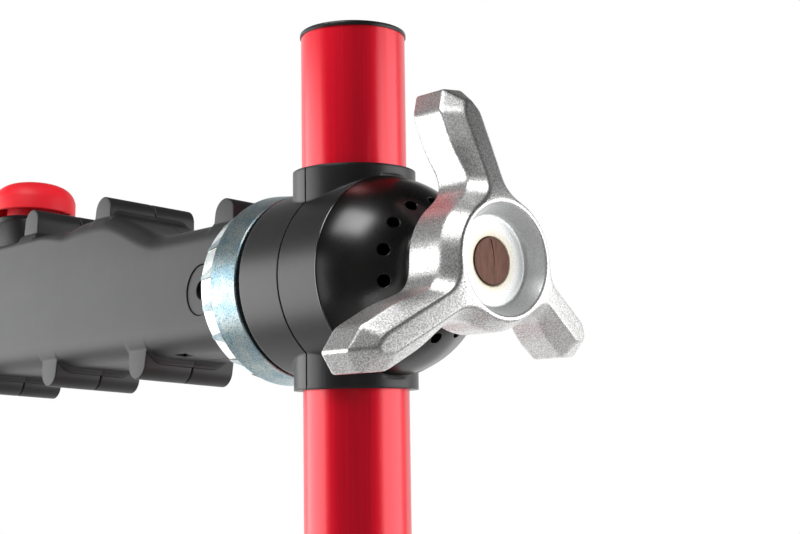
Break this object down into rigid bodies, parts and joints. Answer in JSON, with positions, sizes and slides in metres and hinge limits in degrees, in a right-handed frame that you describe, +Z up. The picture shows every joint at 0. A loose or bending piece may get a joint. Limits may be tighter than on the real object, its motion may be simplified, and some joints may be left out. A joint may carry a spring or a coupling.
{
  "type": "bicycle repair stand",
  "caption": "Folding bicycle repair stand: red telescoping mast on a tripod, with a turning screw clamp arm, a winged lock knob and a quick release button.",
  "frame": {"origin": "on the floor, on the mast's axis", "axes": "+Z up along the mast; the clamp arm points along -X and the head knob along +X"},
  "size_m": [0.9947, 1.143, 1.4914],
  "materials": {
    "red_tube": "satin red anodised",
    "black_plastic": "matte moulded",
    "dome_black": "satin black",
    "arm_grey": "matte dark grey",
    "jaw_black": "matte moulded",
    "cast_grey": "dark grey powder coat",
    "steel": "bright",
    "chrome_pin": "polished",
    "zinc": "bright zinc plate",
    "stud_steel": "sawn end, oxidised",
    "friction": "pressed fibre",
    "cast_aluminium": "sand textured casting",
    "red_plastic": "smooth red",
    "brass_nut": "machined",
    "rubber": "matte",
    "black_steel": "black powder coat"
  },
  "bodies": {
    "lower_mast": {"lower_mast_tube": "red_tube", "mast_end_plug": "black_plastic", "strut_hub": "cast_grey", "strut_pins": "steel", "mast_collar": "cast_grey", "mast_collar_bush": "black_plastic", "mast_collar_bolt": "steel", "mast_collar_nut": "steel"},
    "mast_lever": {"mast_collar_lever": "black_plastic"},
    "upper_mast": {"upper_mast_tube": "red_tube", "mast_top_cap": "black_plastic", "mast_foot_bush": "black_plastic", "housing_inner": "black_plastic", "housing_outer": "black_plastic", "dome_cover": "dome_black", "lock_ring": "zinc", "friction_disc": "friction"},
    "arm": {"arm_shell_near": "arm_grey", "arm_shell_far": "arm_grey", "arm_screws": "steel", "barrel_nut": "arm_grey", "head_stud": "stud_steel", "button_pin": "chrome_pin", "button_spring": "steel", "rear_jaw": "jaw_black", "rear_jaw_pad": "rubber", "rear_jaw_screws": "steel"},
    "washer": {"knob_washer": "steel"},
    "knob": {"head_knob": "cast_aluminium"},
    "button": {"release_button": "red_plastic", "half_nut": "brass_nut"},
    "moving_jaw": {"front_jaw": "jaw_black", "front_jaw_pad": "rubber", "guide_rods": "steel"},
    "spindle": {"jaw_spindle": "steel", "jaw_knob": "black_plastic", "spindle_clip": "steel"},
    "sliding_collar": {"leg_collar": "cast_grey", "leg_collar_bolt": "steel", "leg_collar_nut": "steel", "leg_pins": "steel"},
    "leg_lever": {"leg_collar_lever": "black_plastic"},
    "leg_body_1": {"leg_1": "red_tube", "leg_top_1": "cast_grey", "leg_saddle_1": "cast_grey", "foot_1": "rubber"},
    "strut_body_1": {"strut_1": "black_steel"},
    "leg_body_2": {"leg_2": "red_tube", "leg_top_2": "cast_grey", "leg_saddle_2": "cast_grey", "foot_2": "rubber"},
    "strut_body_2": {"strut_2": "black_steel"},
    "leg_body_3": {"leg_3": "red_tube", "leg_top_3": "cast_grey", "leg_saddle_3": "cast_grey", "foot_3": "rubber"},
    "strut_body_3": {"strut_3": "black_steel"}
  },
  "joints": [
    {"name": "mast_slide", "type": "slide", "parent": "lower_mast", "child": "upper_mast", "axis": [0, 0, 1], "range_m": [-0.34, 0.3]},
    {"name": "mast_lever_open", "type": "hinge", "parent": "lower_mast", "child": "mast_lever", "pos_m": [0.0423, -0.0213, 0.976], "axis": [-1, 0, 0], "range_deg": [0, 150]},
    {"name": "head_turn", "type": "hinge", "parent": "upper_mast", "child": "arm", "pos_m": [0, 0, 1.4], "axis": [1, 0, 0], "continuous": true},
    {"name": "knob_turn", "type": "hinge", "parent": "washer", "child": "knob", "pos_m": [0, 0, 1.4], "axis": [1, 0, 0], "range_deg": [0, 720]},
    {"name": "washer_slide", "type": "slide", "parent": "arm", "child": "washer", "axis": [1, 0, 0], "range_m": [0, 0.00401]},
    {"name": "button_press", "type": "slide", "parent": "arm", "child": "button", "axis": [0, -0.0628, -0.998], "range_m": [0, 0.006], "stiffness_N_per_m": 1500, "springref_m": -0.004, "deforming": ["button_spring"]},
    {"name": "jaw_slide", "type": "slide", "parent": "arm", "child": "moving_jaw", "axis": [-1, 0, 0], "range_m": [0, 0.06]},
    {"name": "jaw_screw", "type": "hinge", "parent": "moving_jaw", "child": "spindle", "pos_m": [0, 0, 1.4], "axis": [-1, 0, 0], "range_deg": [0, 5401]},
    {"name": "collar_slide", "type": "slide", "parent": "lower_mast", "child": "sliding_collar", "axis": [0, 0, 1], "range_m": [0, 0.151]},
    {"name": "leg_lever_open", "type": "hinge", "parent": "sliding_collar", "child": "leg_lever", "pos_m": [0.0423, -0.0213, 0.562], "axis": [1, 0, 0], "range_deg": [0, 100]},
    {"name": "leg_fold_1", "type": "hinge", "parent": "sliding_collar", "child": "leg_body_1", "pos_m": [-0.05605, 0, 0.54], "axis": [0, -1, 0], "range_deg": [0, 44]},
    {"name": "strut_fold_1", "type": "hinge", "parent": "lower_mast", "child": "strut_body_1", "pos_m": [-0.05605, 0, 0.2322], "axis": [0, -1, 0], "range_deg": [-44, 0]},
    {"name": "leg_fold_2", "type": "hinge", "parent": "sliding_collar", "child": "leg_body_2", "pos_m": [0.02803, -0.04854, 0.54], "axis": [0.866, 0.5, 0], "range_deg": [0, 44]},
    {"name": "strut_fold_2", "type": "hinge", "parent": "lower_mast", "child": "strut_body_2", "pos_m": [0.02803, -0.04854, 0.2322], "axis": [0.866, 0.5, 0], "range_deg": [-44, 0]},
    {"name": "leg_fold_3", "type": "hinge", "parent": "sliding_collar", "child": "leg_body_3", "pos_m": [0.02803, 0.04854, 0.54], "axis": [-0.866, 0.5, 0], "range_deg": [0, 44]},
    {"name": "strut_fold_3", "type": "hinge", "parent": "lower_mast", "child": "strut_body_3", "pos_m": [0.02803, 0.04854, 0.2322], "axis": [-0.866, 0.5, 0], "range_deg": [-44, 0]}
  ],
  "couplings": [
    {"joint": "washer_slide", "follows": "knob_turn", "m_per_rad": 0.00031831},
    {"joint": "jaw_screw", "follows": "jaw_slide", "rad_per_m": 1570.8},
    {"joint": "leg_fold_1", "follows": "collar_slide", "rad_per_m": 5.083},
    {"joint": "strut_fold_1", "follows": "collar_slide", "rad_per_m": -5.083},
    {"joint": "leg_fold_2", "follows": "collar_slide", "rad_per_m": 5.083},
    {"joint": "strut_fold_2", "follows": "collar_slide", "rad_per_m": -5.083},
    {"joint": "leg_fold_3", "follows": "collar_slide", "rad_per_m": 5.083},
    {"joint": "strut_fold_3", "follows": "collar_slide", "rad_per_m": -5.083}
  ]
}
